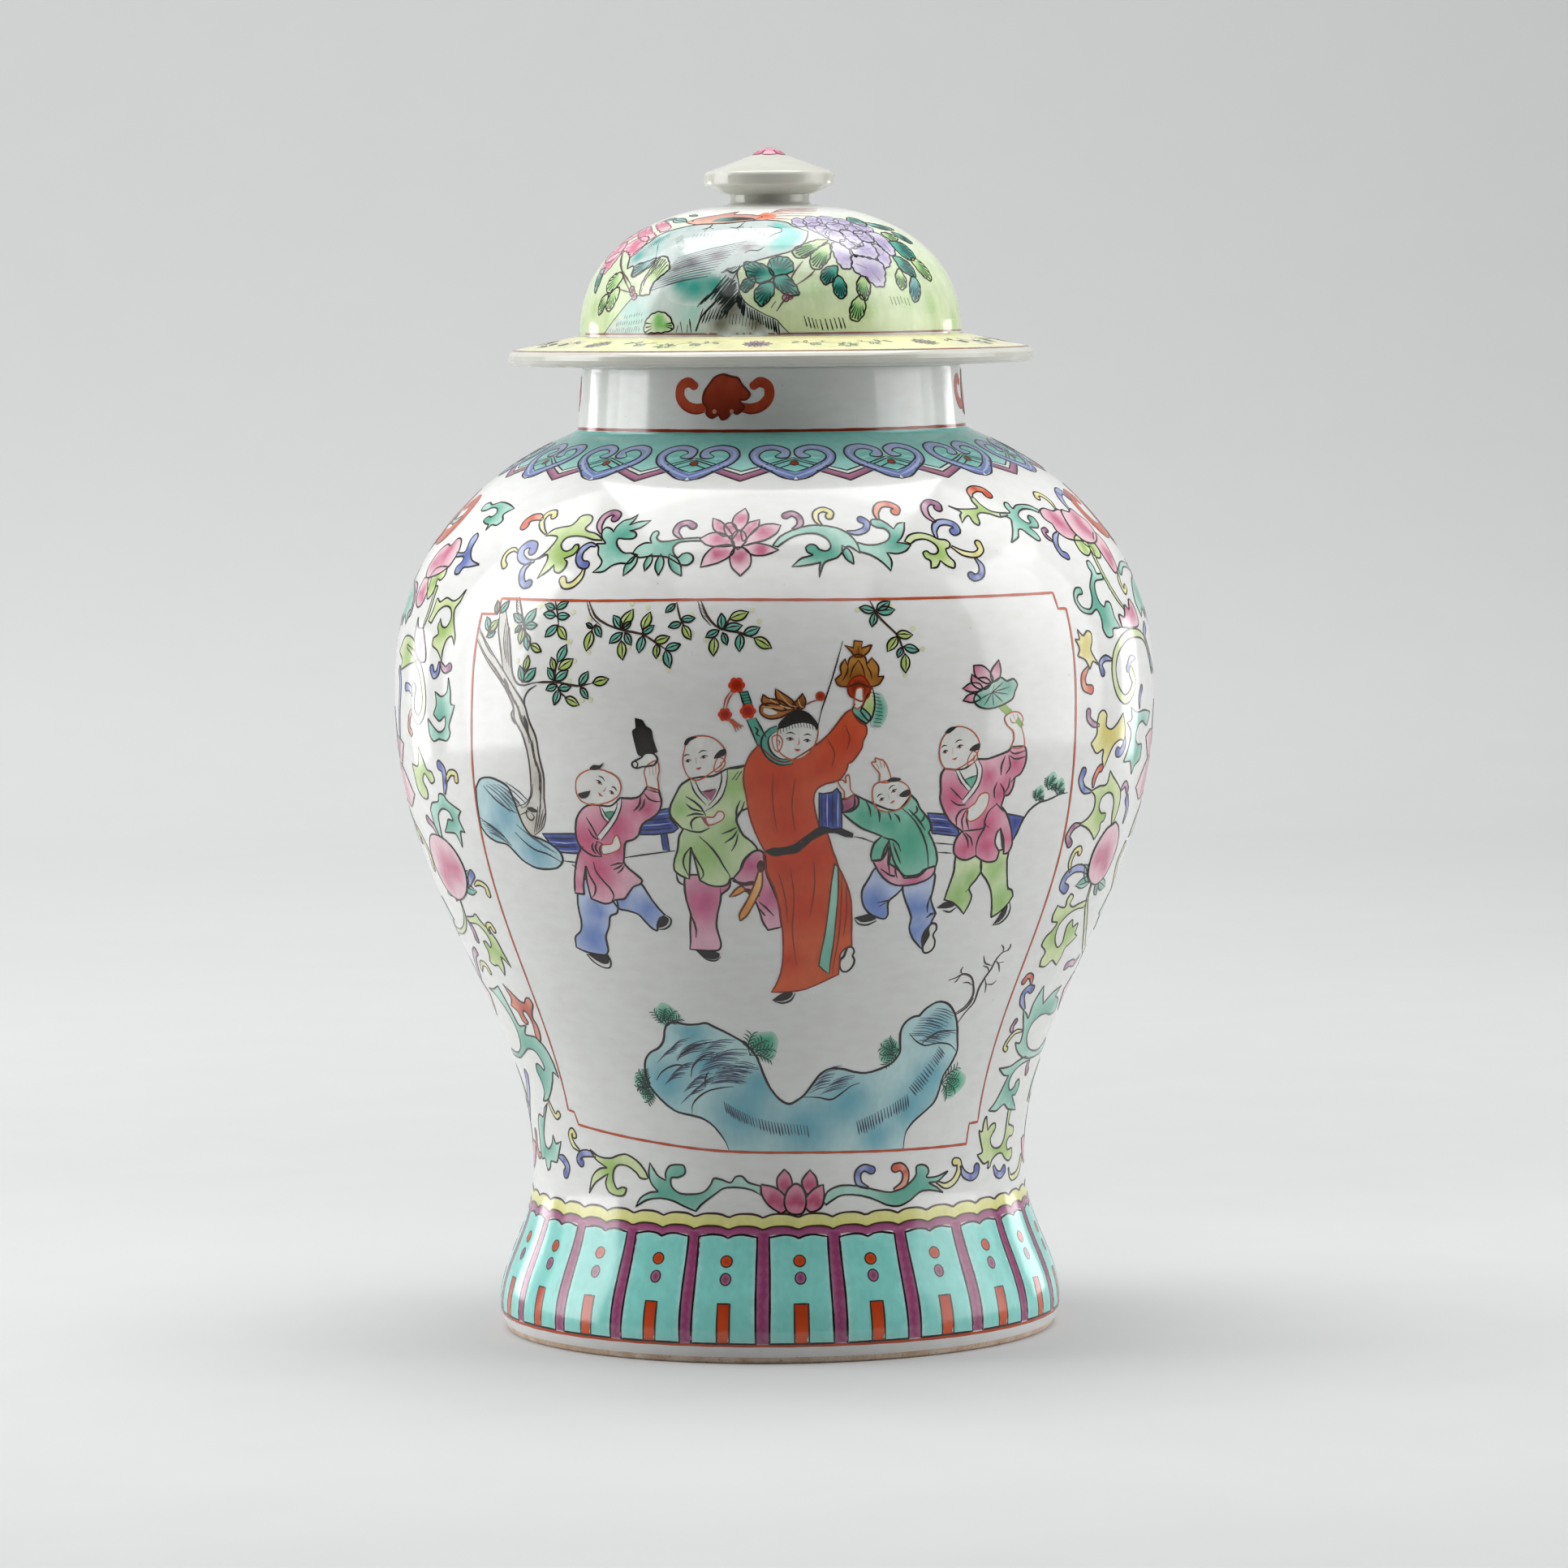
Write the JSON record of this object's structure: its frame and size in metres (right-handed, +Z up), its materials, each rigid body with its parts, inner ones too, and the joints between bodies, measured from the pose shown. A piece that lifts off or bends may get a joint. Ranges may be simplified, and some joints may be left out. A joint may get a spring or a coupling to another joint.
{
  "type": "ginger jar",
  "caption": "Lidded baluster jar of thrown porcelain with a flared foot, full shoulder, short neck and a hat-shaped lift-off lid with a knob.",
  "frame": {"origin": "centre of the foot ring's standing face, on the axis of throwing", "axes": "+Z up along the axis of throwing; -Y faces the viewer of the front panel; +X to that viewer's right"},
  "size_m": [0.2896, 0.2896, 0.45],
  "materials": {
    "glazed_foot": "high gloss",
    "glazed_body": "high gloss",
    "glazed_shoulder": "high gloss",
    "glazed_neck": "high gloss",
    "glazed_brim": "high gloss",
    "glazed_lid": "high gloss",
    "biscuit_rim": "matt unglazed",
    "glazed_knob": "high gloss"
  },
  "bodies": {
    "jar": {"foot_section": "glazed_foot", "lower_body": "glazed_body", "upper_body": "glazed_shoulder", "neck_collar": "glazed_neck"},
    "lid": {"lid_brim": "glazed_brim", "lid_dome": "glazed_lid", "lid_locating_rim": "biscuit_rim", "lid_knob": "glazed_knob"}
  },
  "joints": [
    {"name": "lid_lift", "type": "slide", "parent": "jar", "child": "lid", "axis": [0, 0, 1], "range_m": [0, 0.12]}
  ]
}
